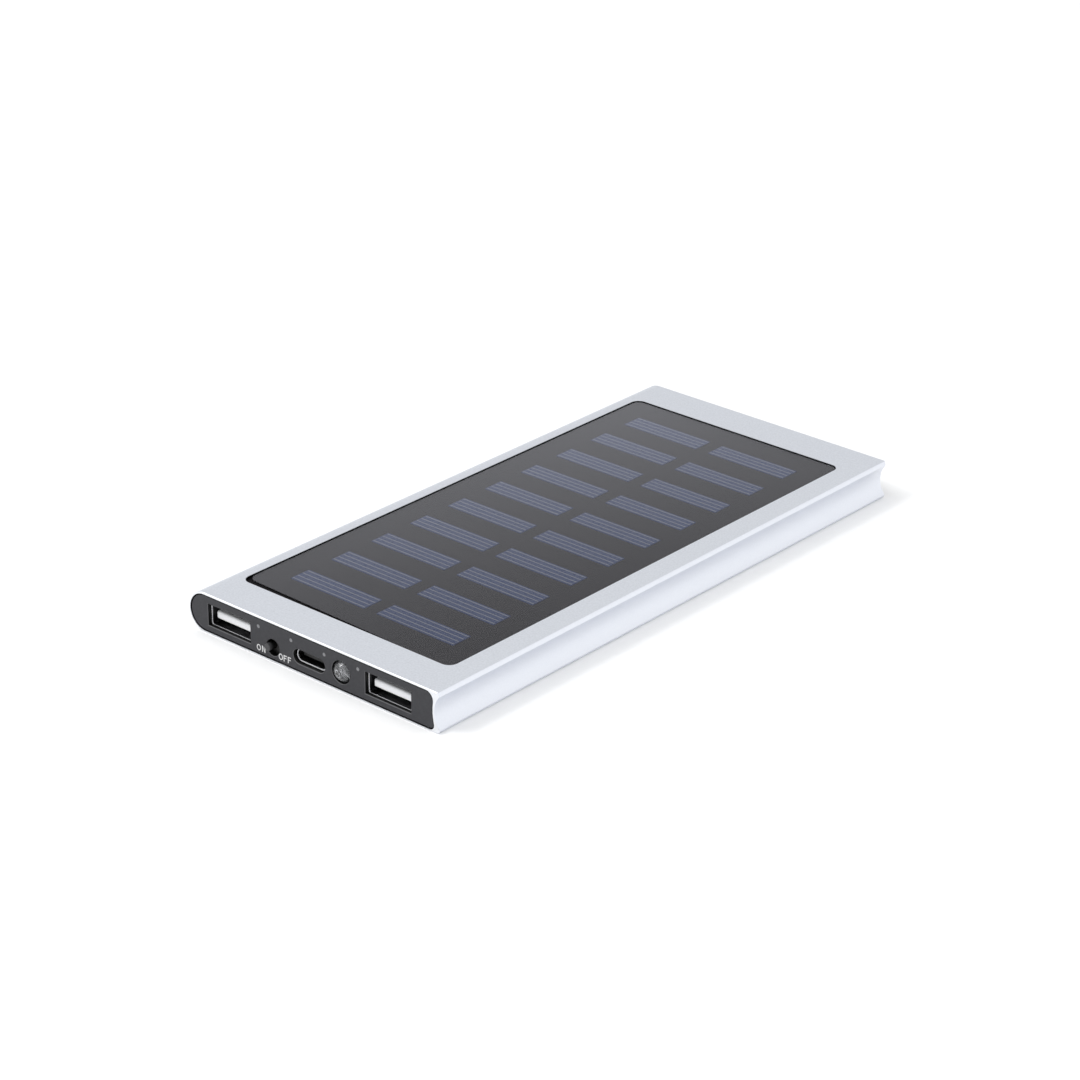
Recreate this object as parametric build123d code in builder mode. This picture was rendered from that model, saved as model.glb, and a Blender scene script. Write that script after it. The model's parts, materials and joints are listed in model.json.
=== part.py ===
"""Solar phone charger: a slim aluminium power bank with a solar panel let into its top face.

Frame: X across the charger (round spine at -X, hollow groove at +X), Y from the socket end
(negative) to the far end, Z up from the face it lies on. Millimetres throughout.
"""

from build123d import *
import os

os.makedirs("parts", exist_ok=True)

# --- driving dimensions -------------------------------------------------------------
body_width = 73.6
body_length = 155.2
body_height = 9.5

# Housing walls and end rebates
top_wall = 1.6
floor_wall = 1.0
side_wall = 1.3
rim = 0.36  # metal left round each end cap
rebate_depth = 1.2
edge_chamfer = 0.1
corner_radius = 0.25  # softened corners of the extrusion

# Groove along the +X side
groove_depth = 1.5
groove_low = 0.9
groove_high = 8.4
land_slant = 0.25  # the land above the groove leans in by this much
groove_setback = 0.15  # upper groove edge, in from the widest point

# Pocket for the solar panel
pocket_width = 61.4
pocket_length = 135.0
pocket_depth = 1.2
pocket_radius = 2.3
pocket_shift = -0.2  # towards the socket end
panel_gap = 0.15
adhesive_thickness = 0.15
adhesive_margin = 2.0
backing_thickness = 0.4
cover_thickness = 0.4
cover_edge = 0.15
cell_width = 22.0
cell_height = 5.55
cell_thickness = 0.18
cell_rows = 10
row_pitch = 12.6
column_pitch = 25.7
cell_shift = 0.1  # cell rows, towards the far end
lead_hole_radius = 3.0

# End caps
cap_gap = 0.15
cap_recess = 0.15
cap_edge = 0.3  # edge radius of the caps
opening_edge = 0.12  # chamfer round the openings
flange_thickness = 1.0
clip_length = 4.0

# Sockets, switch, torch and indicators, placed on the front cap
usb_a_positions = {"left": -24.6, "right": 22.25}
usb_a_height = 4.52
usb_a_window = (13.0, 5.15)
usb_c_x = -0.55
usb_c_height = 3.84
usb_c_window = (9.35, 3.4)
torch_x = 8.8
torch_height = 4.44
torch_hole_radius = 2.65
collar_wall = 0.6  # collar behind the torch hole
collar_length = 1.6
switch_x = -11.3
switch_height = 3.3
switch_hole_radius = 1.95
switch_travel = 2.0
indicator_positions = [-0.9 + 9.77 * (number - 1.5) for number in range(4)]
indicator_height = 6.95
indicator_radius = 0.45

# USB-A receptacles
usb_a_shell = (13.1, 5.7, 14.0)  # width, height, length
usb_a_shell_setback = 1.2  # shell lip behind the cap face
usb_a_tongue = (11.1, 1.84, 9.5)
usb_a_tongue_setback = 0.45  # behind the shell lip
usb_a_tongue_lift = 1.35  # above the inside of the shell
usb_a_contact_pitch = 2.5
usb_a_contact = (1.0, 6.4, 0.15)
usb_a_contact_setback = 2.2  # behind the front of the tongue
sheet = 0.3  # metal of the receptacle shells

# USB-C receptacle
usb_c_shell = (8.94, 3.16, 7.35)
usb_c_shell_setback = 1.05
usb_c_tongue = (6.69, 0.7, 4.0)
usb_c_tongue_setback = 0.9
usb_c_contact_pitch = 0.5
usb_c_contact_count = 12
usb_c_contact = (0.25, 3.2, 0.05)
usb_c_contact_setback = 0.6

# Slide switch
shield = (7.2, 4.0, 0.4)  # dust shield on the slider, width, height, thickness
shield_setback = 1.25
peg_tip_radius = 0.85
peg_root_radius = 0.92
peg_reach = 0.75  # how far the peg stands out of the cap face
slider_block = (4.4, 2.4, 1.6)
slider_gap = 0.1
switch_body_size = (8.6, 3.9, 4.2)
switch_front_setback = 2.7
cover_plate = 0.25
neck = (1.5, 1.4)

# Torch
torch_radius = 2.5
torch_tip_reach = 1.0  # dome tip beyond the cap face
torch_length = 8.6
torch_flange = (2.9, 1.0)
lead_pitch = 2.54
lead_width = 0.5

# Circuit board, hung above its parts
board_thickness = 1.0
board_underside = 5.55
board_left = -34.2
board_right = 33.0
board_front_gap = 2.05  # board edge behind the cap face
board_length = 26.0
board_clearance = 0.15
clip_notch = (8.0, 3.3)  # board corners cut away round the cap clips

# Battery
cell_pack_width = 60.0
cell_pack_length = 54.0
cell_pack_height = 5.6
cell_pack_x = -0.9
terrace_length = 3.5
tape_thickness = 0.2
wire_radius = 0.6

# --- derived places -----------------------------------------------------------------
half_width = body_width / 2
half_length = body_length / 2
spine_radius = body_height / 2
spine_x = -half_width + spine_radius
ceiling = body_height - top_wall
pocket_floor = body_height - pocket_depth
cap_face_y = -half_length + cap_recess
flange_back = cap_recess + flange_thickness
board_front_y = cap_face_y + board_front_gap
board_rear_y = board_front_y + board_length
board_top = board_underside + board_thickness


def front_plane(depth):
    """Upright plane at this depth behind the socket end; its normal points out of the case."""
    return Plane.XZ.offset(half_length - depth)


def save(piece, name):
    """Label a finished piece and write it."""
    piece.part.label = name
    export_step(piece.part, f"parts/{name}.step")


# --- sections -----------------------------------------------------------------------
def outer_section(plane):
    """Book-shaped outline: round spine at -X, concave groove under a narrow land at +X."""
    land_top = (half_width - groove_setback - land_slant, body_height)
    groove_top = (half_width - groove_setback, groove_high)
    groove_bottom = (half_width, groove_low)
    waist = (half_width - groove_depth, (groove_low + groove_high) / 2)
    with BuildSketch(plane) as section:
        with BuildLine():
            Line((spine_x, body_height), land_top)
            Line(land_top, groove_top)
            ThreePointArc(groove_top, waist, groove_bottom)
            CenterArc((half_width - groove_low, groove_low), groove_low, start_angle=-90, arc_size=90)
            Line((half_width - groove_low, 0), (spine_x, 0))
            ThreePointArc((spine_x, 0), (-half_width, spine_radius), (spine_x, body_height))
        make_face()
        corners = section.vertices().filter_by(lambda corner: corner.X > 0 and corner.Y > groove_low / 2)
        fillet(corners, radius=corner_radius)
    return section.sketch


def cap_section(plane, gap=0.0):
    """Outline of the end rebate, or of the cap flange when a gap is given."""
    low, high = rim - 0.05, body_height - rim - 0.05
    middle = (low + high) / 2
    right = half_width - groove_depth - rim
    with BuildSketch(plane) as section:
        with BuildLine():
            Line((spine_x, high), (right + 0.65, high))
            ThreePointArc((right + 0.65, high), (right, middle), (right + 0.85, low))
            Line((right + 0.85, low), (spine_x, low))
            ThreePointArc((spine_x, low), (spine_x - (high - low) / 2, middle), (spine_x, high))
        make_face()
        upper_corner = section.vertices().filter_by(lambda corner: corner.X > 0 and corner.Y > middle)
        fillet(upper_corner, radius=2.0)
        lower_corner = section.vertices().sort_by(Axis.X)[-1:]
        fillet(lower_corner, radius=1.3)
        if gap:
            offset(amount=-gap, mode=Mode.REPLACE)
    return section.sketch


def bore_section(plane, gap=0.0):
    """Outline of the hollow that runs the length of the housing."""
    low, high = floor_wall + gap, ceiling - gap
    right = half_width - groove_depth - side_wall - gap
    radius = (high - low) / 2
    with BuildSketch(plane) as section:
        with BuildLine():
            Line((spine_x, high), (right, high))
            Line((right, high), (right, low))
            Line((right, low), (spine_x, low))
            ThreePointArc((spine_x, low), (spine_x - radius, low + radius), (spine_x, high))
        make_face()
        fillet(section.vertices().group_by(Axis.X)[-1], radius=1.0)
    return section.sketch


# --- housing and end caps -----------------------------------------------------------
pocket_centre = (0, pocket_shift)
lead_hole_centre = (-2.0, board_rear_y - 9.0)

with BuildPart() as housing:
    extrude(outer_section(front_plane(0)), amount=-body_length)
    chamfer([face.edges() for face in housing.faces().filter_by(Axis.Y)], length=edge_chamfer)
    extrude(bore_section(front_plane(0)), amount=-body_length, mode=Mode.SUBTRACT)
    for depth in (0, body_length - rebate_depth):
        extrude(cap_section(front_plane(depth)), amount=-rebate_depth, mode=Mode.SUBTRACT)
    with BuildSketch(Plane.XY.offset(pocket_floor)):
        with Locations(pocket_centre):
            RectangleRounded(pocket_width, pocket_length, pocket_radius)
    extrude(amount=pocket_depth, mode=Mode.SUBTRACT)
    with BuildSketch(Plane.XY.offset(ceiling)):
        with Locations(lead_hole_centre):
            Circle(lead_hole_radius)
    extrude(amount=top_wall, mode=Mode.SUBTRACT)
save(housing, "housing")


def clip_section(plane):
    """Two pads that grip the inside of the housing, one at each side of a cap."""
    left_edge, right_edge = spine_x + 0.4, half_width - 7.2
    with BuildSketch(plane) as clips:
        add(bore_section(Plane.XY, gap=cap_gap))
        with Locations(((left_edge + right_edge) / 2, spine_radius)):
            Rectangle(right_edge - left_edge, body_height, mode=Mode.SUBTRACT)
    return clips.sketch


def usb_a_places():
    """Centres of the two USB-A openings in a front plane."""
    return [(x, usb_a_height) for x in usb_a_positions.values()]


with BuildPart() as front_cap:
    extrude(cap_section(front_plane(cap_recess), gap=cap_gap), amount=-flange_thickness)
    outer_face = front_cap.faces().sort_by(Axis.Y)[0]
    fillet(outer_face.edges(), radius=cap_edge)
    extrude(clip_section(front_plane(flange_back)), amount=-clip_length)
    with BuildSketch(front_plane(flange_back)):
        with Locations((torch_x, torch_height)):
            Circle(torch_hole_radius + collar_wall)
    extrude(amount=-collar_length)
    with BuildSketch(front_plane(cap_recess)):
        with Locations(usb_a_places()):
            Rectangle(*usb_a_window)
        with Locations((usb_c_x, usb_c_height)):
            SlotOverall(*usb_c_window)
        with Locations((switch_x, switch_height)):
            Circle(switch_hole_radius)
        with Locations([(x, indicator_height) for x in indicator_positions]):
            Circle(indicator_radius)
    extrude(amount=-flange_thickness, mode=Mode.SUBTRACT)
    with BuildSketch(front_plane(cap_recess)):
        with Locations((torch_x, torch_height)):
            Circle(torch_hole_radius)
    extrude(amount=-flange_thickness - collar_length, mode=Mode.SUBTRACT)
    cap_face = front_cap.faces().filter_by(Axis.Y).sort_by(Axis.Y)[0]
    openings = [wire for wire in cap_face.inner_wires() if wire.length > 10 * indicator_radius]
    chamfer([wire.edges() for wire in openings], length=opening_edge)
save(front_cap, "front_cap")

with BuildPart() as rear_cap:
    rear = body_length - cap_recess
    extrude(cap_section(front_plane(rear), gap=cap_gap), amount=flange_thickness)
    fillet(rear_cap.faces().sort_by(Axis.Y)[-1].edges(), radius=cap_edge)
    extrude(clip_section(front_plane(rear - flange_thickness)), amount=clip_length)
save(rear_cap, "rear_cap")

# --- solar panel --------------------------------------------------------------------
panel_width = pocket_width - 2 * panel_gap
panel_length = pocket_length - 2 * panel_gap
panel_radius = pocket_radius - panel_gap
backing_bottom = pocket_floor + adhesive_thickness
backing_top = backing_bottom + backing_thickness

with BuildPart() as panel_adhesive:
    with BuildSketch(Plane.XY.offset(pocket_floor)):
        with Locations(pocket_centre):
            RectangleRounded(
                panel_width - 2 * adhesive_margin, panel_length - 2 * adhesive_margin, panel_radius
            )
        with Locations(lead_hole_centre):
            Circle(lead_hole_radius + 0.5, mode=Mode.SUBTRACT)
    extrude(amount=adhesive_thickness)
save(panel_adhesive, "panel_adhesive")

with BuildPart() as panel_backing:
    with BuildSketch(Plane.XY.offset(backing_bottom)):
        with Locations(pocket_centre):
            RectangleRounded(panel_width, panel_length, panel_radius)
    extrude(amount=backing_thickness)
save(panel_backing, "panel_backing")

for side, cells_x in (("left", -column_pitch / 2), ("right", column_pitch / 2)):
    with BuildPart() as cells:
        with BuildSketch(Plane.XY.offset(backing_top)):
            with Locations((cells_x, cell_shift)):
                with GridLocations(1, row_pitch, 1, cell_rows):
                    Rectangle(cell_width, cell_height)
        extrude(amount=cell_thickness)
    save(cells, f"solar_cells_{side}")

with BuildPart() as panel_cover:
    with BuildSketch(Plane.XY.offset(backing_top)):
        with Locations(pocket_centre):
            RectangleRounded(panel_width, panel_length, panel_radius)
    extrude(amount=cover_thickness)
    fillet(panel_cover.faces().sort_by(Axis.Z)[-1].edges(), radius=cover_edge)
    with BuildSketch(Plane.XY.offset(backing_top)):
        with Locations((0, cell_shift)):
            with GridLocations(column_pitch, row_pitch, 2, cell_rows):
                Rectangle(cell_width, cell_height)
    extrude(amount=cell_thickness, mode=Mode.SUBTRACT)
save(panel_cover, "panel_cover")


def wire(route, radius, bend):
    """A lead along straight runs joined by round bends; returns its solid."""
    with BuildPart() as lead:
        with BuildLine() as path:
            if len(route) > 2:
                FilletPolyline(*route, radius=bend)
            else:
                Line(*route)
        with BuildSketch(Plane(origin=path.line @ 0, z_dir=path.line % 0)):
            Circle(radius)
        sweep()
    return lead


panel_wire_radius = 0.4
panel_wire_level = (board_top + ceiling) / 2
for name, offset_x in (("positive", 1.3), ("negative", -1.3)):
    start_x, start_y = lead_hole_centre[0] + offset_x, lead_hole_centre[1] - 1.2
    panel_lead = wire(
        [
            (start_x, start_y, backing_bottom),
            (start_x, start_y, panel_wire_level),
            (start_x, start_y + 6.0, panel_wire_level),
            (start_x, start_y + 6.0, board_top),
        ],
        panel_wire_radius,
        0.5,
    )
    save(panel_lead, f"panel_lead_{name}")

# --- circuit board ------------------------------------------------------------------
usb_a_cutout = (usb_a_shell[0] + 2 * board_clearance, usb_a_shell[2] - 0.2)
torch_notch = (2 * torch_flange[0] + 0.4, torch_length - 0.4)

with BuildPart() as circuit_board:
    with BuildSketch(Plane.XY.offset(board_underside)):
        with Locations(((board_left + board_right) / 2, board_front_y + board_length / 2)):
            Rectangle(board_right - board_left, board_length)
        with Locations([(x, board_front_y) for x in usb_a_positions.values()]):
            Rectangle(usb_a_cutout[0], 2 * usb_a_cutout[1], mode=Mode.SUBTRACT)
        with Locations((torch_x, board_front_y)):
            Rectangle(torch_notch[0], 2 * torch_notch[1], mode=Mode.SUBTRACT)
        with Locations((board_left, board_front_y), (board_right, board_front_y)):
            Rectangle(clip_notch[0], 2 * clip_notch[1], mode=Mode.SUBTRACT)
    extrude(amount=board_thickness)
save(circuit_board, "circuit_board")

# --- USB-A receptacles --------------------------------------------------------------
shell_width, shell_height, shell_length = usb_a_shell
shell_front = cap_recess + usb_a_shell_setback
shell_floor = usb_a_height - shell_height / 2 + sheet
tongue_width, tongue_height, tongue_length = usb_a_tongue
tongue_front = shell_front + usb_a_tongue_setback
tongue_z = shell_floor + usb_a_tongue_lift + tongue_height / 2
spring_length = 4.6
spring_middle = 5.5  # middle of the contact springs, behind the shell lip
spring_pitch = 5.2
spring_width = 1.4
spring_slot = 1.9

for side, socket_x in usb_a_positions.items():
    with BuildPart() as usb_a_shell_piece:
        with BuildSketch(front_plane(shell_front)):
            with Locations((socket_x, usb_a_height)):
                RectangleRounded(shell_width, shell_height, 0.7)
                RectangleRounded(
                    shell_width - 2 * sheet, shell_height - 2 * sheet, 0.4, mode=Mode.SUBTRACT
                )
        extrude(amount=-shell_length)
        with BuildSketch(Plane.XY.offset(usb_a_height - shell_height)):
            with Locations((socket_x, -half_length + shell_front + spring_middle)):
                with GridLocations(spring_pitch, 1, 2, 1):
                    Rectangle(spring_slot, spring_length)
        extrude(amount=2 * shell_height, mode=Mode.SUBTRACT)
        spring_root = -half_length + shell_front + spring_middle + spring_length / 2 + 0.1
        spring_heel = spring_root - spring_length + 0.6
        for spring_x in (socket_x - spring_pitch / 2, socket_x + spring_pitch / 2):
            with BuildSketch(Plane.YZ.offset(spring_x - spring_width / 2)):
                for level in (1, -1):
                    skin = usb_a_height + level * shell_height / 2
                    with BuildLine():
                        Polyline(
                            (spring_root, skin),
                            (spring_root, skin - level * 0.2),
                            (spring_heel, skin - level * 0.85),
                            (spring_heel, skin - level * 0.65),
                            close=True,
                        )
                    make_face()
            extrude(amount=spring_width)
        with BuildSketch(Plane.XY.offset(board_underside - sheet)):
            with Locations((socket_x, -half_length + shell_front + 10.5)):
                with GridLocations(shell_width + 0.7, 1, 2, 1):
                    Rectangle(0.9, 3.0)
        extrude(amount=sheet)
    save(usb_a_shell_piece, f"usb_a_shell_{side}")

    with BuildPart() as usb_a_tongue_piece:
        with BuildSketch(front_plane(tongue_front)):
            with Locations((socket_x, tongue_z)):
                RectangleRounded(tongue_width, tongue_height, 0.35)
        extrude(amount=-tongue_length)
        fillet(usb_a_tongue_piece.faces().sort_by(Axis.Y)[0].edges(), radius=0.5)
        with BuildSketch(front_plane(tongue_front + tongue_length)):
            with Locations((socket_x, usb_a_height)):
                RectangleRounded(shell_width - 2 * sheet - 0.02, shell_height - 2 * sheet - 0.02, 0.4)
        extrude(amount=-(shell_length - usb_a_tongue_setback - tongue_length))
    save(usb_a_tongue_piece, f"usb_a_tongue_{side}")

    with BuildPart() as usb_a_contacts:
        contact_y = -half_length + tongue_front + usb_a_contact_setback + usb_a_contact[1] / 2
        with BuildSketch(Plane.XY.offset(tongue_z + tongue_height / 2)):
            with Locations((socket_x, contact_y)):
                with GridLocations(usb_a_contact_pitch, 1, 4, 1):
                    Rectangle(usb_a_contact[0], usb_a_contact[1])
        extrude(amount=usb_a_contact[2])
    save(usb_a_contacts, f"usb_a_contacts_{side}")

# --- USB-C receptacle ---------------------------------------------------------------
c_width, c_height, c_length = usb_c_shell
c_front = cap_recess + usb_c_shell_setback
c_tongue_width, c_tongue_height, c_tongue_length = usb_c_tongue
c_tongue_front = c_front + usb_c_tongue_setback

with BuildPart() as usb_c_shell_piece:
    with BuildSketch(front_plane(c_front)):
        with Locations((usb_c_x, usb_c_height)):
            SlotOverall(c_width, c_height)
            SlotOverall(c_width - 2 * sheet, c_height - 2 * sheet, mode=Mode.SUBTRACT)
    extrude(amount=-c_length)
save(usb_c_shell_piece, "usb_c_shell")

with BuildPart() as usb_c_tongue_piece:
    with BuildSketch(front_plane(c_tongue_front)):
        with Locations((usb_c_x, usb_c_height)):
            RectangleRounded(c_tongue_width, c_tongue_height, 0.2)
    extrude(amount=-c_tongue_length)
    with BuildSketch(front_plane(c_tongue_front + c_tongue_length)):
        with Locations((usb_c_x, usb_c_height)):
            SlotOverall(c_width - 2 * sheet - 0.02, c_height - 2 * sheet - 0.02)
    extrude(amount=-(c_length - usb_c_tongue_setback - c_tongue_length))
save(usb_c_tongue_piece, "usb_c_tongue")

strip_width, strip_length, strip_thickness = usb_c_contact
strip_y = -half_length + c_tongue_front + usb_c_contact_setback + strip_length / 2
with BuildPart() as usb_c_contacts:
    for level in (c_tongue_height / 2, -c_tongue_height / 2 - strip_thickness):
        with BuildSketch(Plane.XY.offset(usb_c_height + level)):
            with Locations((usb_c_x, strip_y)):
                with GridLocations(usb_c_contact_pitch, 1, usb_c_contact_count, 1):
                    Rectangle(strip_width, strip_length)
        extrude(amount=strip_thickness)
save(usb_c_contacts, "usb_c_contacts")

# --- slide switch, drawn in its on position -----------------------------------------
slider_x = switch_x - switch_travel / 2
block_width, block_height, block_depth = slider_block
block_front = switch_front_setback + cover_plate + slider_gap + cap_recess
body_front = cap_recess + switch_front_setback + cover_plate
switch_width, switch_tall, switch_deep = switch_body_size
slot_width = switch_travel + block_width + 2 * slider_gap

with BuildPart() as switch_slider:
    with BuildSketch(front_plane(cap_recess - peg_reach)):
        with Locations((slider_x, switch_height)):
            Circle(peg_tip_radius)
    with BuildSketch(front_plane(cap_recess + shield_setback)):
        with Locations((slider_x, switch_height)):
            Circle(peg_root_radius)
    loft()
    fillet(switch_slider.faces().sort_by(Axis.Y)[0].edges(), radius=0.15)
    with BuildSketch(front_plane(cap_recess + shield_setback)):
        with Locations((slider_x, switch_height - 0.1)):
            RectangleRounded(shield[0], shield[1], 0.5)
    extrude(amount=-shield[2])
    with BuildSketch(front_plane(cap_recess + shield_setback + shield[2])):
        with Locations((slider_x, switch_height)):
            Rectangle(*neck)
    extrude(amount=-(block_front - cap_recess - shield_setback - shield[2]))
    with BuildSketch(front_plane(block_front)):
        with Locations((slider_x, switch_height)):
            Rectangle(block_width, block_height)
    extrude(amount=-block_depth)
save(switch_slider, "switch_slider")

with BuildPart() as switch_wiper:
    with BuildSketch(front_plane(block_front + block_depth)):
        with Locations((slider_x, switch_height)):
            Rectangle(block_width - 0.6, 1.0)
    extrude(amount=-0.3)
save(switch_wiper, "switch_wiper")

with BuildPart() as switch_body:
    with BuildSketch(front_plane(body_front)):
        with Locations((switch_x, board_underside - switch_tall / 2 - 0.05)):
            Rectangle(switch_width, switch_tall)
    extrude(amount=-switch_deep)
    with BuildSketch(front_plane(body_front)):
        with Locations((switch_x, switch_height)):
            Rectangle(slot_width, block_height + 2 * slider_gap)
    extrude(amount=-(slider_gap + block_depth + 0.6), mode=Mode.SUBTRACT)
save(switch_body, "switch_body")

with BuildPart() as switch_cover:
    with BuildSketch(front_plane(body_front - cover_plate)):
        with Locations((switch_x, board_underside - switch_tall / 2 - 0.05)):
            Rectangle(switch_width, switch_tall)
        with Locations((switch_x, switch_height)):
            Rectangle(
                switch_travel + neck[0] + 2 * slider_gap, neck[1] + 2 * slider_gap, mode=Mode.SUBTRACT
            )
    extrude(amount=-cover_plate + 0.01)
save(switch_cover, "switch_cover")

with BuildPart() as switch_terminals:
    with BuildSketch(Plane.XY.offset(board_underside - 0.05)):
        with Locations((switch_x, -half_length + body_front + switch_deep + 0.3)):
            with GridLocations(2.5, 1, 3, 1):
                Rectangle(0.6, 0.4)
    extrude(amount=-2.6)
save(switch_terminals, "switch_terminals")

# --- torch --------------------------------------------------------------------------
tip_y = cap_face_y - torch_tip_reach
dome_y = tip_y + torch_radius
torch_rear = tip_y + torch_length
lead_cavity = (3.4, 1.2, 4.4)  # width, height and depth of the pocket round the lead frame

with BuildPart() as torch_lens:
    flange_x, barrel_x = torch_x + torch_flange[0], torch_x + torch_radius
    flange_y = torch_rear - torch_flange[1]
    with BuildSketch(Plane.XY.offset(torch_height)):
        with BuildLine():
            Polyline(
                (torch_x, tip_y),
                (torch_x, torch_rear),
                (flange_x, torch_rear),
                (flange_x, flange_y),
                (barrel_x, flange_y),
                (barrel_x, dome_y),
            )
            CenterArc((torch_x, dome_y), torch_radius, start_angle=-90, arc_size=90)
        make_face()
    revolve(axis=Axis((torch_x, 0, torch_height), (0, 1, 0)))
    with BuildSketch(Plane.XZ.offset(-torch_rear)):
        with Locations((torch_x, torch_height)):
            Rectangle(lead_cavity[0], lead_cavity[1])
    extrude(amount=lead_cavity[2], mode=Mode.SUBTRACT)
save(torch_lens, "torch_lens")

with BuildPart() as torch_lead_frame:
    for lead_x, anvil in ((torch_x - lead_pitch / 2, 1.5), (torch_x + lead_pitch / 2, 0.9)):
        toward_middle = 0.35 if lead_x < torch_x else -0.1
        with BuildSketch(Plane.XY.offset(torch_height - lead_width / 2)):
            with Locations((lead_x, torch_rear + 0.9)):
                Rectangle(lead_width, 8.0)
            with Locations((lead_x + toward_middle, torch_rear - 3.1 - 0.6)):
                Rectangle(anvil, 1.2)
        extrude(amount=lead_width)
        with BuildSketch(Plane.XY.offset(torch_height - lead_width / 2)):
            with Locations((lead_x, torch_rear + 4.9 - lead_width / 2)):
                Rectangle(lead_width, lead_width)
        extrude(amount=board_underside - torch_height + lead_width / 2 - 0.05)
save(torch_lead_frame, "torch_lead_frame")

# --- indicators ---------------------------------------------------------------------
pipe_length = board_front_gap - 0.1
led_gap = 0.15
led_size = (1.6, 0.8, 0.75)
for number, indicator_x in enumerate(indicator_positions, start=1):
    with BuildPart() as light_pipe:
        with BuildSketch(front_plane(cap_recess + 0.02)):
            with Locations((indicator_x, indicator_height)):
                Circle(indicator_radius - 0.03)
        extrude(amount=-pipe_length)
        with BuildSketch(front_plane(flange_back + 0.05)):
            with Locations((indicator_x, indicator_height)):
                Circle(indicator_radius + 0.3)
        extrude(amount=-0.5)
    save(light_pipe, f"indicator_light_pipe_{number}")

    with BuildPart() as indicator_led:
        with BuildSketch(Plane.XY.offset(board_top)):
            with Locations((indicator_x, cap_face_y + pipe_length + led_gap + led_size[1] / 2)):
                Rectangle(led_size[0], led_size[1])
        extrude(amount=led_size[2])
    save(indicator_led, f"indicator_led_{number}")

# --- parts on the underside of the board --------------------------------------------
def hang_blocks(name, places, size, corner=0.0):
    """Equal chips under the board, as one named group."""
    width, length, height = size
    with BuildPart() as chips:
        with BuildSketch(Plane.XY.offset(board_underside - 0.05)):
            with Locations(places):
                if corner:
                    RectangleRounded(width, length, corner)
                else:
                    Rectangle(width, length)
        extrude(amount=-height)
    save(chips, name)


parts_y = board_rear_y - 9.0
hang_blocks("power_inductor", [(-2.0, parts_y)], (7.0, 7.0, 3.1), corner=1.2)
hang_blocks("charge_controller", [(7.5, parts_y)], (5.0, 4.0, 1.5))
hang_blocks("boost_converter", [(-11.0, parts_y)], (4.9, 3.9, 1.5))
hang_blocks("battery_protector", [(20.0, board_rear_y - 3.0)], (3.0, 1.7, 1.1))
capacitor_places = [(column, parts_y + row) for column in (-16.5, 13.5) for row in (-3.0, 0.0, 3.0)]
hang_blocks("ceramic_capacitors", capacitor_places, (2.0, 1.25, 1.0))
resistor_places = [(-6.0 + 2.4 * step, board_rear_y - 2.5) for step in range(7)]
hang_blocks("chip_resistors", resistor_places, (0.8, 1.6, 0.45))

with BuildPart() as insulation_sheet:
    with BuildSketch(Plane.XY.offset(floor_wall + 0.02)):
        with Locations((cell_pack_x, board_front_y + board_length / 2 + 2.5)):
            Rectangle(cell_pack_width - 4, board_length - 4)
    extrude(amount=0.1)
save(insulation_sheet, "insulation_sheet")

with BuildPart() as board_foam_pads:
    with BuildSketch(Plane.XY.offset(floor_wall + 0.15)):
        with Locations((-24.5, board_rear_y - 9.5), (24.5, board_rear_y - 9.5)):
            Rectangle(7.0, 3.5)
    extrude(amount=board_underside - floor_wall - 0.2)
save(board_foam_pads, "board_foam_pads")

# --- battery ------------------------------------------------------------------------
cell_bottom = floor_wall + 0.05 + tape_thickness
terrace_z = cell_bottom + cell_pack_height / 2
tab_thickness = 0.2
tab_length = 2.0
tab_offset = 13.0
front_cell_y = board_rear_y + 4.0 + terrace_length + tab_length
cell_starts = {"front": front_cell_y, "rear": front_cell_y + cell_pack_length + 1.5 + tab_length + terrace_length}

for place, start_y in cell_starts.items():
    with BuildPart() as pouch_cell:
        with BuildSketch(Plane.XY.offset(cell_bottom)):
            with Locations((cell_pack_x, start_y + cell_pack_length / 2)):
                RectangleRounded(cell_pack_width, cell_pack_length, 1.5)
        extrude(amount=cell_pack_height)
        fillet(pouch_cell.faces().sort_by(Axis.Z)[-1].edges(), radius=1.2)
        fillet(pouch_cell.faces().sort_by(Axis.Z)[0].edges(), radius=1.2)
        with BuildSketch(Plane.XY.offset(terrace_z - 0.4)):
            with Locations((cell_pack_x, start_y + 0.5 - terrace_length / 2)):
                Rectangle(cell_pack_width - 3, terrace_length + 1.0)
        extrude(amount=0.8)
    save(pouch_cell, f"pouch_cell_{place}")

    with BuildPart() as cell_tape:
        with BuildSketch(Plane.XY.offset(floor_wall + 0.02)):
            with Locations((cell_pack_x, start_y + cell_pack_length / 2)):
                Rectangle(cell_pack_width - 8, cell_pack_length - 8)
        extrude(amount=tape_thickness)
    save(cell_tape, f"cell_tape_{place}")

for polarity, side in (("positive", 1), ("negative", -1)):
    tab_x = cell_pack_x + side * tab_offset
    with BuildPart() as cell_tabs:
        with BuildSketch(Plane.XY.offset(terrace_z - tab_thickness / 2)):
            with Locations(
                [(tab_x, start_y - terrace_length - tab_length / 2) for start_y in cell_starts.values()]
            ):
                Rectangle(4.0, tab_length)
        extrude(amount=tab_thickness)
    save(cell_tabs, f"cell_tabs_{polarity}")

    wire_z = terrace_z + tab_thickness / 2 + wire_radius
    wire_end_y = board_rear_y - 2.0
    front_tab_y = cell_starts["front"] - terrace_length - tab_length / 2
    rear_tab_y = cell_starts["rear"] - terrace_length - tab_length / 2 - 0.3
    front_lead = wire([(tab_x, front_tab_y, wire_z), (tab_x, wire_end_y, wire_z)], wire_radius, 0)
    save(front_lead, f"front_cell_lead_{polarity}")

    channel_x = cell_pack_x + side * (cell_pack_width / 2 + wire_radius + 0.9)
    rear_lead = wire(
        [(tab_x, rear_tab_y, wire_z), (channel_x, rear_tab_y, wire_z), (channel_x, wire_end_y, wire_z)],
        wire_radius,
        4.0,
    )
    save(rear_lead, f"rear_cell_lead_{polarity}")
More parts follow.
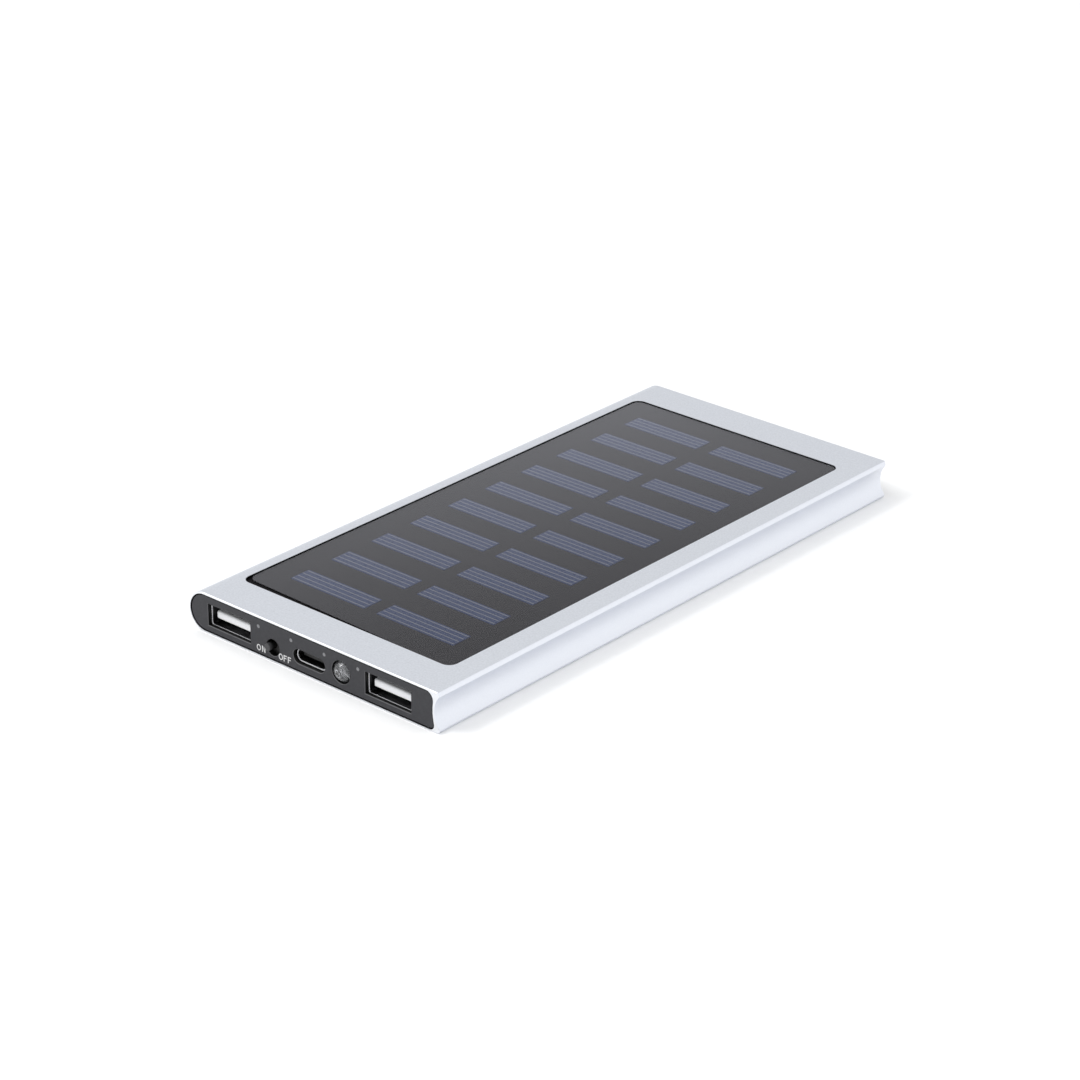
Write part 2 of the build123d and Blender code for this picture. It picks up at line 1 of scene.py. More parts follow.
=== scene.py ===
"""Solar phone charger: materials, small detail pieces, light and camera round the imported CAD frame."""

import json
import math

import bmesh
import bpy
from mathutils import Matrix, Vector


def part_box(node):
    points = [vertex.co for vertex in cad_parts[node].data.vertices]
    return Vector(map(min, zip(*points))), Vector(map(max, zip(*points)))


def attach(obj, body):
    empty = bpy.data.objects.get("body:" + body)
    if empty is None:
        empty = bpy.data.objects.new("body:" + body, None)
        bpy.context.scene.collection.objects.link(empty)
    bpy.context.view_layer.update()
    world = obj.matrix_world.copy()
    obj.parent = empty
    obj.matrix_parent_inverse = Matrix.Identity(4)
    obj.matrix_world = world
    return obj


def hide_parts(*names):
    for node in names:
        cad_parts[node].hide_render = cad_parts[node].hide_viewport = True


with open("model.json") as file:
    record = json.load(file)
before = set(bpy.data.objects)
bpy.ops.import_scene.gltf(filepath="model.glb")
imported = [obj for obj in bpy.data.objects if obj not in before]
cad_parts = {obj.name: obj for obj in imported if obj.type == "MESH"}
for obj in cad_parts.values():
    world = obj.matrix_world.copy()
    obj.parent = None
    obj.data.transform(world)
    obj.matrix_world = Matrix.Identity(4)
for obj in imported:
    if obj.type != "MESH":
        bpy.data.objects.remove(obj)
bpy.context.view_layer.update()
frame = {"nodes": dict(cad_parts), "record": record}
nodes = frame["nodes"]
MM = 0.001

# Places and sizes shared by the materials and the pieces
case_low, case_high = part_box("housing")
cover_low, cover_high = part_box("panel_cover")
cad_length = case_high[1] - case_low[1]
cap_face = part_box("front_cap")[0][1]
CAP_MIDDLE = (1.0 * MM, 4.7 * MM)  # X and Z of the middle of a cap
CAP_EDGE = 0.3 * MM  # rounding of a cap's outer edge
CAP_RIM_FROM = (33.0 * MM, 3.6 * MM)  # how far from its middle a cap's outer rim starts
CAP_OUTLINE_FROM = (33.3 * MM, 4.0 * MM)  # and past which its outermost vertices lie
PANEL_CORNER = 2.15 * MM
NEAR_GAP = 1.8 * MM  # how far the film's near edge stands back at the round side
CELL_ROWS = 10
CELL_HEIGHT = 5.55 * MM
LINE_OFFSETS = (-2.25, -0.75, 0.75, 2.25)  # collector lines from a cell's middle, in mm
LINE_HALF_WIDTH = 0.09 * MM

# --- materials ----------------------------------------------------------------------


def link(tree, source, socket, target, name):
    tree.links.new(source.outputs[socket], target.inputs[name])


def noise(tree, scale, detail=4.0, stretch=(1.0, 1.0, 1.0)):
    """Noise over the object's own coordinates; scale is in features per metre."""
    where = tree.nodes.new("ShaderNodeTexCoord")
    mapping = tree.nodes.new("ShaderNodeMapping")
    mapping.inputs["Scale"].default_value = stretch
    texture = tree.nodes.new("ShaderNodeTexNoise")
    texture.inputs["Scale"].default_value = scale
    texture.inputs["Detail"].default_value = detail
    link(tree, where, "Object", mapping, "Vector")
    link(tree, mapping, "Vector", texture, "Vector")
    return texture


def spread(tree, source, socket, low, high):
    """Map a noise's middle range onto low..high."""
    node = tree.nodes.new("ShaderNodeMapRange")
    node.inputs["From Min"].default_value = 0.3
    node.inputs["From Max"].default_value = 0.7
    node.inputs["To Min"].default_value = low
    node.inputs["To Max"].default_value = high
    link(tree, source, socket, node, "Value")
    return node


def blend_colours(tree, factor, socket, first, second):
    """Mix two colours, or a colour and another node's colour output."""
    mix = tree.nodes.new("ShaderNodeMix")
    mix.data_type = "RGBA"
    link(tree, factor, socket, mix, "Factor")
    for slot, value in ((6, first), (7, second)):
        if isinstance(value, tuple):
            mix.inputs[slot].default_value = (*value, 1.0)
        else:
            tree.links.new(value.outputs[2], mix.inputs[slot])
    return mix


def surface(name, dark, light, rough, grain, bump, metallic=0.0, patches=300.0, stretch=(1, 1, 1), **sockets):
    """Principled material: two-tone mottling, varied roughness and a fine raised grain."""
    material = bpy.data.materials.new(name)
    material.use_nodes = True
    tree = material.node_tree
    shader = tree.nodes["Principled BSDF"]
    shader.inputs["Metallic"].default_value = metallic
    for socket, value in sockets.items():
        shader.inputs[socket.replace("_", " ")].default_value = value
    tone = blend_colours(tree, noise(tree, patches, 5.0, stretch), "Fac", dark, light)
    tree.links.new(tone.outputs[2], shader.inputs["Base Color"])
    fine = noise(tree, grain, 3.0, stretch)
    worn = spread(tree, fine, "Fac", rough[0], rough[1])
    link(tree, worn, "Result", shader, "Roughness")
    raised = tree.nodes.new("ShaderNodeBump")
    raised.inputs["Strength"].default_value = bump
    raised.inputs["Distance"].default_value = 0.02 * MM
    link(tree, fine, "Fac", raised, "Height")
    link(tree, raised, "Normal", shader, "Normal")
    return material


def position(tree, axis):
    """A node whose output of this name is one of the object's own coordinates, in metres."""
    where = tree.nodes.new("ShaderNodeTexCoord")
    split = tree.nodes.new("ShaderNodeSeparateXYZ")
    link(tree, where, "Object", split, "Vector")
    return split, axis


def arithmetic(tree, operation, source, socket, value):
    node = tree.nodes.new("ShaderNodeMath")
    node.operation = operation
    link(tree, source, socket, node, 0)
    node.inputs[1].default_value = value
    return node


def combine(tree, operation, first, second):
    """Arithmetic on the values of two nodes."""
    node = tree.nodes.new("ShaderNodeMath")
    node.operation = operation
    link(tree, first, "Value", node, 0)
    link(tree, second, "Value", node, 1)
    return node


def recolour(material, factor, socket, colour):
    """Lay another colour over a material's base colour where factor is 1."""
    tree = material.node_tree
    shader = tree.nodes["Principled BSDF"]
    under = shader.inputs["Base Color"].links[0].from_node
    over = blend_colours(tree, factor, socket, under, colour)
    tree.links.new(over.outputs[2], shader.inputs["Base Color"])


def facing(tree):
    """The surface's own normal, split in three: Y is -1 on faces towards the socket end."""
    surface_normal = tree.nodes.new("ShaderNodeNewGeometry")
    split = tree.nodes.new("ShaderNodeSeparateXYZ")
    link(tree, surface_normal, "True Normal", split, "Vector")
    return split


def blasted_aluminium():
    """Blasted and anodised on its long faces, bright where the ends were cut."""
    material = surface(
        "blasted_aluminium", (0.66, 0.68, 0.725), (0.88, 0.905, 0.96), (0.37, 0.49), 3600.0, 0.35, 1.0, 2400.0
    )
    tree = material.node_tree
    side = arithmetic(tree, "GREATER_THAN", facing(tree), "X", 0.3)
    even = arithmetic(tree, "MULTIPLY", side, "Value", 0.8)
    recolour(material, even, "Value", (0.77, 0.79, 0.843))
    reach = arithmetic(tree, "ABSOLUTE", *position(tree, "Y"), 0.0)
    cut = arithmetic(tree, "GREATER_THAN", reach, "Value", cad_length / 2 - 0.06 * MM)
    recolour(material, cut, "Value", (0.82, 0.83, 0.86))
    return material


def socket_steel():
    """Stamped steel, painted dark inside as shade and painted bright on its front lips as a highlight."""
    # Its two dark tones are painted shade for the inside of the socket.
    material = surface(
        "socket_steel",
        (0.10, 0.10, 0.10),
        (0.16, 0.16, 0.165),
        (0.3, 0.42),
        1800.0,
        0.1,
        1.0,
        500.0,
        (1, 0.1, 1),
    )
    # Faces turned to the front are painted bright as a highlight.
    painted_highlight_lips = arithmetic(material.node_tree, "LESS_THAN", facing(material.node_tree), "Y", -0.9)
    recolour(material, painted_highlight_lips, "Value", (0.85, 0.85, 0.87))
    return material


def cap_plastic():
    """Dark textured plastic with a painted highlight on its sloped edges, and painted shade blackening its
    outer edge and the faces set back inside.
    """
    material = surface(
        "cap_plastic",
        (0.026, 0.026, 0.030),
        (0.040, 0.040, 0.045),
        (0.42, 0.58),
        4200.0,
        0.35,
        0.0,
        900.0,
        Specular_IOR_Level=0.3,
    )
    tree = material.node_tree
    # Sloped faces, such as the edges of the openings, are painted lighter as a highlight.
    turned = arithmetic(tree, "ABSOLUTE", facing(tree), "Y", 0.0)
    middle = arithmetic(tree, "SUBTRACT", turned, "Value", 0.6)
    away = arithmetic(tree, "ABSOLUTE", middle, "Value", 0.0)
    highlight_edges = arithmetic(tree, "LESS_THAN", away, "Value", 0.35)
    recolour(material, highlight_edges, "Value", (0.10, 0.10, 0.105))
    # The outer edge and the faces set back inside are painted black as shade.
    reaches = []
    for axis, centre, reach in zip("XZ", CAP_MIDDLE, CAP_RIM_FROM):
        level = arithmetic(tree, "SUBTRACT", *position(tree, axis), centre)
        size = arithmetic(tree, "ABSOLUTE", level, "Value", 0.0)
        reaches.append(arithmetic(tree, "GREATER_THAN", size, "Value", reach))
    shaded_outer_edge = combine(tree, "MULTIPLY", highlight_edges, combine(tree, "MAXIMUM", *reaches))
    depth = arithmetic(tree, "ABSOLUTE", *position(tree, "Y"), 0.0)
    shaded_inside = arithmetic(tree, "LESS_THAN", depth, "Value", cad_length / 2 - 0.3 * MM)
    painted_shade = combine(tree, "MAXIMUM", shaded_outer_edge, shaded_inside)
    recolour(material, painted_shade, "Value", (0.002, 0.002, 0.002))
    return material


def slider_plastic():
    """The cap's colour on the part that stands out, painted black as shade where it sits inside."""
    material = surface(
        "slider_plastic", (0.033, 0.033, 0.036), (0.05, 0.05, 0.054), (0.4, 0.5), 4200.0, 0.25, 0.0, 900.0
    )
    tree = material.node_tree
    # Painted shade: black where the slider sits back inside the cap.
    shaded_inside = tree.nodes.new("ShaderNodeMapRange")
    shaded_inside.inputs["From Min"].default_value = cap_face - 0.25 * MM
    shaded_inside.inputs["From Max"].default_value = cap_face + 0.3 * MM
    link(tree, *position(tree, "Y"), shaded_inside, "Value")
    recolour(material, shaded_inside, "Result", (0.002, 0.002, 0.002))
    return material


def panel_laminate():
    """Dark film over the cells, with a painted reflection that lightens it towards the far end and the round
    side.
    """
    material = surface(
        "panel_laminate",
        (0.078, 0.076, 0.084),
        (0.084, 0.082, 0.090),
        (0.34, 0.40),
        4200.0,
        0.02,
        Alpha=0.34,
        IOR=1.5,
    )
    tree = material.node_tree
    # Painted reflection: lighter towards the far end and the round side.
    across = arithmetic(tree, "MULTIPLY", *position(tree, "X"), -0.5 / (cover_high[0] - cover_low[0]))
    along = arithmetic(tree, "MULTIPLY", *position(tree, "Y"), 0.5 / (cover_high[1] - cover_low[1]))
    share = arithmetic(tree, "ADD", combine(tree, "ADD", across, along), "Value", 0.505)
    painted_reflection = arithmetic(tree, "POWER", share, "Value", 1.3)
    recolour(material, painted_reflection, "Value", (0.335, 0.337, 0.363))
    speck = spread(tree, noise(tree, 2800.0, 2.0), "Fac", 0.0, 0.012)
    recolour(material, speck, "Result", (0.55, 0.55, 0.58))
    return material


def cell_silicon():
    """Blue cells with fine collector ribs across them."""
    material = surface(
        "cell_silicon",
        (0.003, 0.022, 0.104),
        (0.006, 0.032, 0.134),
        (0.24, 0.34),
        2600.0,
        0.08,
        0.0,
        420.0,
        Specular_IOR_Level=0.25,
    )
    tree = material.node_tree
    count = arithmetic(tree, "MULTIPLY", *position(tree, "X"), 1 / (0.45 * MM))
    part = arithmetic(tree, "FRACT", count, "Value", 0.0)
    rib = arithmetic(tree, "LESS_THAN", part, "Value", 0.25)
    recolour(material, rib, "Value", (0.009, 0.040, 0.145))
    return material



materials = {
    "anodised_aluminium": blasted_aluminium(),
    "grey_cap_plastic": cap_plastic(),
    "panel_black": surface(
        "panel_black",
        (0.004, 0.004, 0.005),
        (0.010, 0.009, 0.010),
        (0.8, 0.9),
        4000.0,
        0.1,
        Specular_IOR_Level=0.1,
    ),
    "cell_silicon": cell_silicon(),
    "adhesive_tape": surface("adhesive", (0.5, 0.49, 0.45), (0.6, 0.58, 0.53), (0.6, 0.75), 1800.0, 0.2),
    "socket_steel": socket_steel(),
    "white_plastic": surface(
        "white_plastic", (0.86, 0.865, 0.88), (0.92, 0.925, 0.94), (0.3, 0.4), 3000.0, 0.1, 0.0, 300.0
    ),
    "black_plastic": surface(
        "black_plastic", (0.012, 0.012, 0.013), (0.02, 0.02, 0.021), (0.35, 0.5), 4200.0, 0.25, 0.0, 700.0
    ),
    "contact_gold": surface(
        "contact_gold", (0.75, 0.53, 0.2), (0.86, 0.64, 0.28), (0.16, 0.26), 2500.0, 0.06, 1.0, 900.0
    ),
    "lead_steel": surface(
        "tinned_steel", (0.55, 0.55, 0.56), (0.66, 0.66, 0.66), (0.25, 0.38), 1600.0, 0.12, 1.0, 500.0
    ),
    "light_pipe_plastic": surface(
        "light_pipe", (0.15, 0.15, 0.16), (0.21, 0.21, 0.22), (0.25, 0.35), 3000.0, 0.08, 0.0, 1200.0
    ),
    "indicator_white": surface(
        "indicator_led", (0.75, 0.74, 0.62), (0.84, 0.83, 0.72), (0.3, 0.45), 3000.0, 0.1
    ),
    "board_laminate": surface(
        "board_laminate", (0.008, 0.07, 0.03), (0.014, 0.11, 0.05), (0.25, 0.4), 1500.0, 0.25, 0.0, 350.0
    ),
    "component_black": surface(
        "component_black", (0.014, 0.014, 0.015), (0.024, 0.024, 0.025), (0.5, 0.65), 3500.0, 0.25
    ),
    "ferrite_grey": surface("ferrite", (0.07, 0.07, 0.072), (0.12, 0.12, 0.12), (0.6, 0.75), 2400.0, 0.4),
    "ceramic_tan": surface("ceramic", (0.28, 0.18, 0.1), (0.38, 0.26, 0.15), (0.4, 0.5), 2400.0, 0.15),
    "foam_black": surface("foam", (0.012, 0.012, 0.012), (0.04, 0.04, 0.04), (0.8, 0.95), 1800.0, 0.8),
    "pouch_foil": surface(
        "pouch_foil", (0.5, 0.5, 0.51), (0.62, 0.62, 0.63), (0.28, 0.42), 700.0, 0.3, 1.0, 120.0
    ),
    "wire_red": surface("wire_red", (0.38, 0.008, 0.008), (0.5, 0.015, 0.012), (0.4, 0.5), 1800.0, 0.12),
    "wire_black": surface("wire_black", (0.01, 0.01, 0.01), (0.02, 0.02, 0.02), (0.4, 0.5), 1800.0, 0.12),
    "insulation_film": surface("film", (0.42, 0.27, 0.07), (0.55, 0.37, 0.1), (0.3, 0.4), 1000.0, 0.1),
    "panel_laminate": panel_laminate(),
    "clear_epoxy": surface(
        "clear_epoxy",
        (0.68, 0.69, 0.71),
        (0.77, 0.78, 0.80),
        (0.0, 0.03),
        900.0,
        0.003,
        0.0,
        700.0,
        Transmission_Weight=0.92,
        IOR=1.5,
    ),
}
slider_plastic_with_shade = slider_plastic()
cup_steel = surface("cup_steel", (0.5, 0.5, 0.51), (0.62, 0.62, 0.63), (0.15, 0.25), 1500.0, 0.02, 1.0)
lip_steel = surface("lip_steel", (0.62, 0.62, 0.64), (0.75, 0.75, 0.77), (0.22, 0.32), 2500.0, 0.08, 0.35)
# Black without sheen: painted shade for the gaps round the panel and the cap, the panel's sides and the lamp's
# anvil.
shade_black = surface(
    "shade_black",
    (0.002, 0.002, 0.002),
    (0.006, 0.006, 0.006),
    (0.7, 0.85),
    3000.0,
    0.2,
    Specular_IOR_Level=0.0,
)
print_white = surface(
    "print_white", (0.58, 0.58, 0.58), (0.70, 0.70, 0.70), (0.45, 0.6), 4000.0, 0.1, 0.0, 2500.0
)
finger_silver = surface("finger_silver", (0.24, 0.25, 0.28), (0.32, 0.33, 0.36), (0.35, 0.5), 3500.0, 0.1)
phosphor = surface("phosphor", (0.62, 0.52, 0.12), (0.75, 0.65, 0.2), (0.5, 0.6), 4000.0, 0.2)

for part in frame["record"]["subparts"]:
    finish = materials.get(part["material_slot"])
    if finish:
        slots = nodes[part["node"]].data.materials
        slots.clear()
        slots.append(slider_plastic_with_shade if part["node"] == "switch_slider" else finish)

# --- mesh helpers -------------------------------------------------------------------


def piece(name, mesh, material, body, smooth=True):
    """Finish a bmesh as an object that rides on a CAD body."""
    bmesh.ops.recalc_face_normals(mesh, faces=mesh.faces)
    data = bpy.data.meshes.new(name)
    mesh.to_mesh(data)
    mesh.free()
    data.materials.append(material)
    thing = bpy.data.objects.new(name, data)
    bpy.context.scene.collection.objects.link(thing)
    if smooth:
        data.shade_smooth()
        data.set_sharp_from_angle(angle=math.radians(40))
    if body:
        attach(thing, body)
    return thing


def rounded_outline(low, high, radius, steps=10):
    """Corner points of a rounded rectangle, anticlockwise."""
    points = []
    for corner, start in (((1, 1), 0), ((-1, 1), 90), ((-1, -1), 180), ((1, -1), 270)):
        x = high[0] - radius if corner[0] > 0 else low[0] + radius
        y = high[1] - radius if corner[1] > 0 else low[1] + radius
        for step in range(steps + 1):
            angle = math.radians(start + 90 * step / steps)
            points.append((x + radius * math.cos(angle), y + radius * math.sin(angle)))
    return points


def join_rings(mesh, rings):
    """Faces between rings of the same number of vertices."""
    for lower, upper in zip(rings, rings[1:]):
        count = len(lower)
        for index in range(count):
            following = (index + 1) % count
            mesh.faces.new((lower[index], lower[following], upper[following], upper[index]))


def lathe(profile, centre, steps=64):
    """Turn (radius, y) pairs about a line along Y through centre (x, z)."""
    mesh = bmesh.new()
    rings = []
    for radius, y in profile:
        ring = []
        for step in range(steps):
            angle = 2 * math.pi * step / steps
            ring.append(
                mesh.verts.new((centre[0] + radius * math.cos(angle), y, centre[1] + radius * math.sin(angle)))
            )
        rings.append(ring)
    join_rings(mesh, rings)
    mesh.faces.new(rings[0])
    mesh.faces.new(rings[-1])
    return mesh


def block(mesh, low, high):
    """A closed six-sided block in an existing mesh."""
    corners = [
        mesh.verts.new((x, y, z))
        for z in (low[2], high[2])
        for y in (low[1], high[1])
        for x in (low[0], high[0])
    ]
    for face in ((0, 2, 3, 1), (4, 5, 7, 6), (0, 1, 5, 4), (2, 6, 7, 3), (0, 4, 6, 2), (1, 3, 7, 5)):
        mesh.faces.new([corners[index] for index in face])


# --- panel face and cell lines ------------------------------------------------------
edge = 0.15 * MM
mesh = bmesh.new()
rings = []
levels = [(0.0, cover_low[2])] + [
    (edge * (1 - math.cos(turn)), cover_high[2] - edge * (1 - math.sin(turn)))
    for turn in [math.radians(22.5 * step) for step in range(5)]
]
levels.append((edge + 0.5 * MM, cover_high[2]))  # keeps the shading of the flat middle flat
for inset, z in levels:
    outline = rounded_outline(
        (cover_low[0] + inset, cover_low[1] + inset),
        (cover_high[0] - inset, cover_high[1] - inset),
        PANEL_CORNER - inset,
    )
    ring = []
    for x, y in outline:
        share = max(0.0, (cover_high[0] - x) / (cover_high[0] - cover_low[0])) * (y < 0)
        ring.append(mesh.verts.new((x, y + NEAR_GAP * share, z)))
    rings.append(ring)
join_rings(mesh, rings)
mesh.faces.new(rings[-1])
# The panel's sides take the black of the painted shade in the gap.
for face in mesh.faces:
    face.material_index = int(max(corner.co.z for corner in face.verts) < cover_high[2] - 0.9 * edge)
panel_face = piece("panel_face", mesh, materials["panel_laminate"], "case")
panel_face.data.materials.append(shade_black)
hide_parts("panel_cover")

# Black strip of painted shade in the gap round the panel
mesh = bmesh.new()
rings = []
for spread_out, z in ((0.01, 0.0), (0.01, 0.14), (0.04, 0.17), (0.11, 0.17), (0.14, 0.14), (0.14, 0.0)):
    outline = rounded_outline(
        (cover_low[0] - spread_out * MM, cover_low[1] - spread_out * MM),
        (cover_high[0] + spread_out * MM, cover_high[1] + spread_out * MM),
        PANEL_CORNER + spread_out * MM,
    )
    base = cover_low[2] if z == 0.0 else cover_high[2]
    rings.append([mesh.verts.new((x, y, base + z * MM)) for x, y in outline])
rings.append(rings[0])
join_rings(mesh, rings)
piece("panel_gap_shade", mesh, shade_black, "case")

# Black strip of painted shade in the gap round the front cap, following the cap's own outer edge
outline = set()
for vertex in nodes["front_cap"].data.vertices:
    where = nodes["front_cap"].matrix_world @ vertex.co
    away_x, away_z = abs(where.x - CAP_MIDDLE[0]), abs(where.z - CAP_MIDDLE[1])
    outside = away_x > CAP_OUTLINE_FROM[0] or away_z > CAP_OUTLINE_FROM[1]
    if outside and abs(where.y - cap_face - CAP_EDGE) < 0.02 * MM:
        outline.add((round(where.x, 6), round(where.z, 6)))
outline = sorted(outline, key=lambda point: math.atan2(point[1] - CAP_MIDDLE[1], point[0]))
# Its rings: how far out from the cap's edge, and how far in from its face, in mm
CAP_GAP_SHADE_RINGS = ((0.0, 0.5), (0.0, 0.08), (0.04, 0.03), (0.11, 0.03), (0.15, 0.08), (0.15, 0.5))
mesh = bmesh.new()
rings = []
for spread_out, y in CAP_GAP_SHADE_RINGS:
    ring = []
    for index, (x, z) in enumerate(outline):
        before, after = outline[index - 1], outline[(index + 1) % len(outline)]
        along = Vector((after[0] - before[0], after[1] - before[1])).normalized()
        shift = Vector((along.y, -along.x)) * spread_out * MM
        ring.append(mesh.verts.new((x + shift.x, cap_face + y * MM, z + shift.y)))
    rings.append(ring)
rings.append(rings[0])
join_rings(mesh, rings)
piece("cap_gap_shade", mesh, shade_black, "case")

# Rolled lips on the mouths of the sockets
MOUTHS = (("usb_a_shell_left", 0.62, 0.8), ("usb_a_shell_right", 0.62, 0.8), ("usb_c_shell", 1.48, 0.0))
for name, corner, margin in MOUTHS:
    low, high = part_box(name)
    mesh = bmesh.new()
    rings = []
    for step in range(9):
        turn = 2 * math.pi * step / 8
        inset = (0.13 + 0.11 * math.cos(turn)) * MM
        outline = rounded_outline(
            (low[0] + margin * MM + inset, low[2] + inset),
            (high[0] - margin * MM - inset, high[2] - inset),
            corner * MM + 0.1 * MM - inset,
        )
        y = low[1] - 0.02 * MM + 0.1 * MM * math.sin(turn)
        rings.append([mesh.verts.new((x, y, z)) for x, z in outline] if step < 8 else rings[0])
    join_rings(mesh, rings)
    piece(name + "_lip", mesh, lip_steel, "case")

# Collector lines on the cells
for side in ("left", "right"):
    low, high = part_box(f"solar_cells_{side}")
    pitch = (high[1] - low[1] - CELL_HEIGHT) / (CELL_ROWS - 1)
    mesh = bmesh.new()
    for row in range(CELL_ROWS):
        middle = low[1] + CELL_HEIGHT / 2 + row * pitch
        for offset in LINE_OFFSETS:
            y = middle + offset * MM
            block(
                mesh,
                (low[0] + 0.15 * MM, y - LINE_HALF_WIDTH, high[2] + 0.004 * MM),
                (high[0] - 0.15 * MM, y + LINE_HALF_WIDTH, high[2] + 0.016 * MM),
            )
    piece(f"cell_lines_{side}", mesh, finger_silver, "case", smooth=False)

# --- torch --------------------------------------------------------------------------
lens_low, lens_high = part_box("torch_lens")
axis_point = ((lens_low[0] + lens_high[0]) / 2, (lens_low[2] + lens_high[2]) / 2)
barrel = 2.5 * MM
tip = lens_low[1]
profile = [
    (max(barrel * math.sin(turn), 0.02 * MM), tip + barrel * (1 - math.cos(turn)))
    for turn in [math.radians(5 * step) for step in range(19)]
]
profile += [
    (barrel, lens_high[1] - 1.1 * MM),
    (barrel + 0.1 * MM, lens_high[1] - 1.0 * MM),
    (2.85 * MM, lens_high[1] - 0.95 * MM),
    (2.9 * MM, lens_high[1] - 0.9 * MM),
    (2.9 * MM, lens_high[1]),
]
torch_dome = piece("torch_dome", lathe(profile, axis_point), materials["clear_epoxy"], "case")
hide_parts("torch_lens")

cup_y = tip + 3.4 * MM
cup = [
    (2.05 * MM, cup_y),
    (1.95 * MM, cup_y - 0.02 * MM),
    (0.55 * MM, cup_y + 0.7 * MM),
    (0.02 * MM, cup_y + 0.72 * MM),
    (0.02 * MM, cup_y + 0.9 * MM),
    (0.8 * MM, cup_y + 0.9 * MM),
    (2.05 * MM, cup_y + 0.3 * MM),
]
piece("torch_cup", lathe(cup, axis_point, 40), cup_steel, "case")
# Black block inside the lens, painted shade that shows through it as a dark wedge.
mesh = bmesh.new()
block(
    mesh,
    (axis_point[0] + 0.1 * MM, cup_y - 0.15 * MM, axis_point[1] - 0.3 * MM),
    (axis_point[0] + 1.6 * MM, cup_y + 0.2 * MM, axis_point[1] + 0.3 * MM),
)
piece("torch_anvil", mesh, shade_black, "case", smooth=False)
die = [(0.02 * MM, cup_y + 0.28 * MM), (0.42 * MM, cup_y + 0.36 * MM), (0.5 * MM, cup_y + 0.6 * MM)]
piece("torch_die", lathe(die, axis_point, 32), phosphor, "case")

# --- printed letters beside the switch ----------------------------------------------
LETTER_HEIGHT = 1.5 * MM
STROKE = 0.24 * MM
INK = 0.015 * MM


def letter_strokes(letter, x, z):
    """Quads, in the cap's own face plane, that make one letter centred at x, z."""
    half, wide = LETTER_HEIGHT / 2, 0.5 * MM
    quads = []
    if letter == "O":
        rim = []
        for step in range(24):
            turn = 2 * math.pi * step / 24
            rim.append((math.cos(turn), math.sin(turn)))
        for (c0, s0), (c1, s1) in zip(rim, rim[1:] + rim[:1]):
            outer, inner = (wide + STROKE / 2, half), (wide - STROKE / 2, half - STROKE)
            quads.append(
                [
                    (x + outer[0] * c0, z + outer[1] * s0),
                    (x + outer[0] * c1, z + outer[1] * s1),
                    (x + inner[0] * c1, z + inner[1] * s1),
                    (x + inner[0] * c0, z + inner[1] * s0),
                ]
            )
    else:
        left = x - wide
        quads.append([(left, z - half), (left + STROKE, z - half), (left + STROKE, z + half), (left, z + half)])
    if letter == "F":
        for low, length in ((half - STROKE, 0.95 * MM), (-STROKE * 0.3, 0.8 * MM)):
            quads.append(
                [
                    (left + STROKE, z + low),
                    (left + length, z + low),
                    (left + length, z + low + STROKE),
                    (left + STROKE, z + low + STROKE),
                ]
            )
    if letter == "N":
        right = x + wide
        quads.append(
            [(right - STROKE, z - half), (right, z - half), (right, z + half), (right - STROKE, z + half)]
        )
        quads.append(
            [
                (left + STROKE, z + half - 0.36 * MM),
                (right - STROKE, z - half),
                (right - STROKE, z - half + 0.36 * MM),
                (left + STROKE, z + half),
            ]
        )
    return quads


mesh = bmesh.new()
for letter, x in (("O", -15.57), ("N", -14.1), ("O", -8.94), ("F", -7.6), ("F", -6.35)):
    for quad in letter_strokes(letter, x * MM, 1.96 * MM):
        front = [mesh.verts.new((px, cap_face - INK, pz)) for px, pz in quad]
        back = [mesh.verts.new((px, cap_face + INK, pz)) for px, pz in quad]
        mesh.faces.new(front)
        mesh.faces.new(back)
        for index in range(4):
            following = (index + 1) % 4
            mesh.faces.new((front[index], front[following], back[following], back[index]))
piece("switch_lettering", mesh, print_white, "case", smooth=False)

# --- floor, light and camera --------------------------------------------------------
mesh = bmesh.new()
rings = []
for radius in (0.25, 0.8, 2.0, 4.0):
    rings.append(
        [
            mesh.verts.new((radius * math.cos(turn), radius * math.sin(turn), case_low[2] - 0.03 * MM))
            for turn in [2 * math.pi * step / 64 for step in range(64)]
        ]
    )
join_rings(mesh, rings)
mesh.faces.new(rings[0])
paper = surface("studio_paper", (0.94, 0.94, 0.94), (0.96, 0.96, 0.96), (0.85, 0.95), 400.0, 0.05, 0.0, 20.0)
floor = piece("floor", mesh, paper, None)

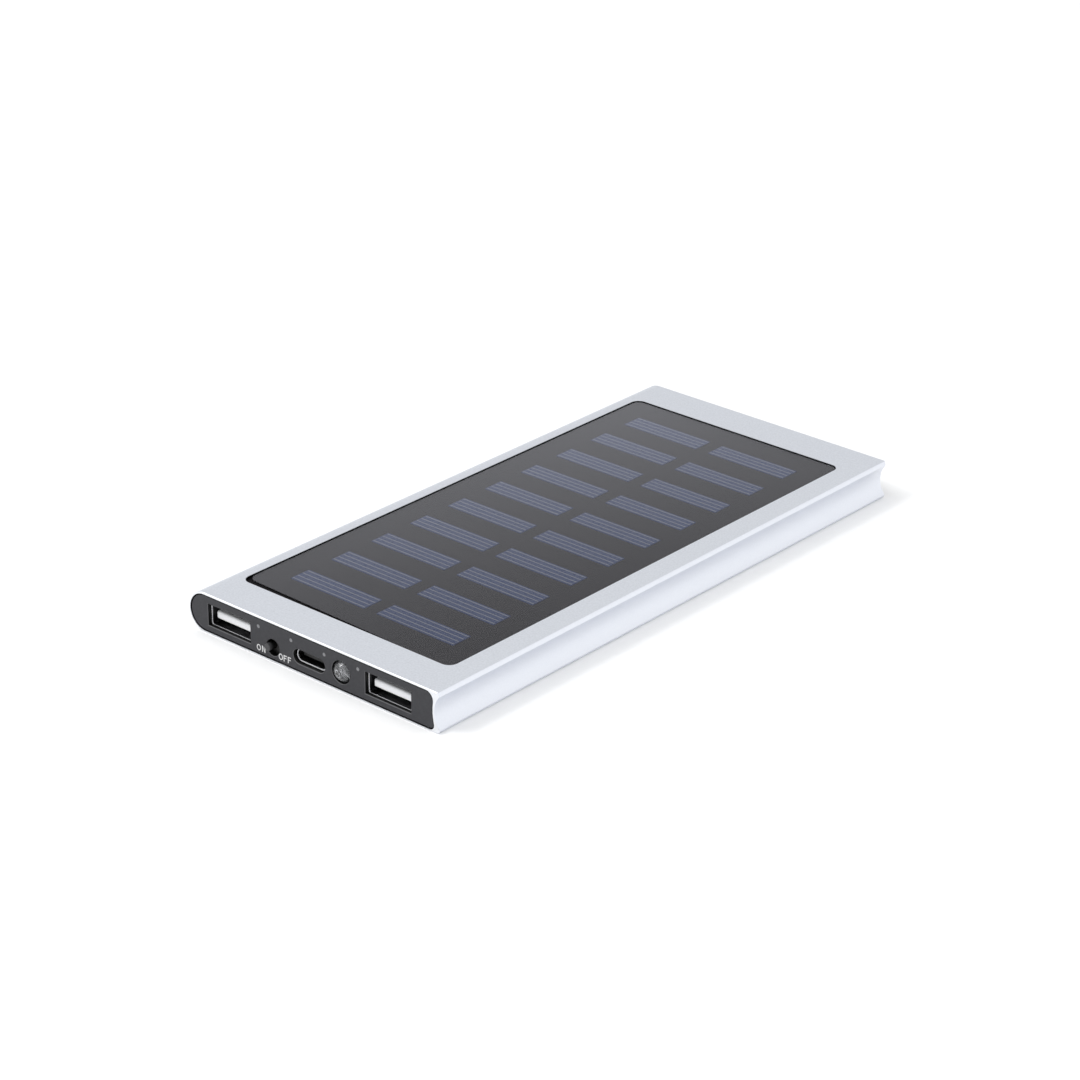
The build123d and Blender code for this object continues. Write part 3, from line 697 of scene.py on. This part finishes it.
world = bpy.data.worlds.new("studio")
bpy.context.scene.world = world
world.use_nodes = True
background = world.node_tree.nodes["Background"]
background.inputs["Color"].default_value = (0.98, 0.99, 1.0, 1.0)
background.inputs["Strength"].default_value = 0.80


def soft_light(name, place, aim, size, power):
    """A square softbox at place, turned to face aim."""
    lamp = bpy.data.lights.new(name, "AREA")
    lamp.shape = "SQUARE"
    lamp.size = size
    lamp.energy = power
    lamp_object = bpy.data.objects.new(name, lamp)
    lamp_object.location = place
    direction = Vector(aim) - Vector(place)
    lamp_object.rotation_euler = direction.to_track_quat("-Z", "Y").to_euler()
    bpy.context.scene.collection.objects.link(lamp_object)


soft_light("key_softbox", (-0.9, -0.7, 1.4), (0, 0, 0), 1.2, 12.5)
soft_light("side_softbox", (1.45, 1.35, 0.45), (0, 0, 0), 1.7, 3.0)
soft_light("glint_softbox", (-0.31, -0.49, 0.69), (0.009, -0.077, 0.004), 0.12, 1.0)
soft_light("fill_softbox", (1.4, -0.2, 0.9), (0, 0, 0), 1.0, 5.0)

AZIMUTH, ELEVATION, ROLL = (math.radians(angle) for angle in (40.9115, 25.3938, 0.40706))
back = Vector(
    (
        math.sin(AZIMUTH) * math.cos(ELEVATION),
        -math.cos(AZIMUTH) * math.cos(ELEVATION),
        math.sin(ELEVATION),
    )
)
right = Vector((math.cos(AZIMUTH), math.sin(AZIMUTH), 0))
up = back.cross(right)
camera_x = right * math.cos(ROLL) + up * math.sin(ROLL)
camera_y = up * math.cos(ROLL) - right * math.sin(ROLL)
target = Vector((-8.3877, 5.2823, 0.1999)) * MM
DISTANCE = 720.157 * MM
camera_data = bpy.data.cameras.new("camera")
camera_data.lens = 104.59
camera_data.sensor_width = 36.0
camera = bpy.data.objects.new("camera", camera_data)
turn = Matrix((camera_x, camera_y, back)).transposed().to_4x4()
camera.matrix_world = Matrix.Translation(target + back * DISTANCE) @ turn
bpy.context.scene.collection.objects.link(camera)
bpy.context.scene.camera = camera
bpy.context.scene.view_settings.view_transform = "Standard"
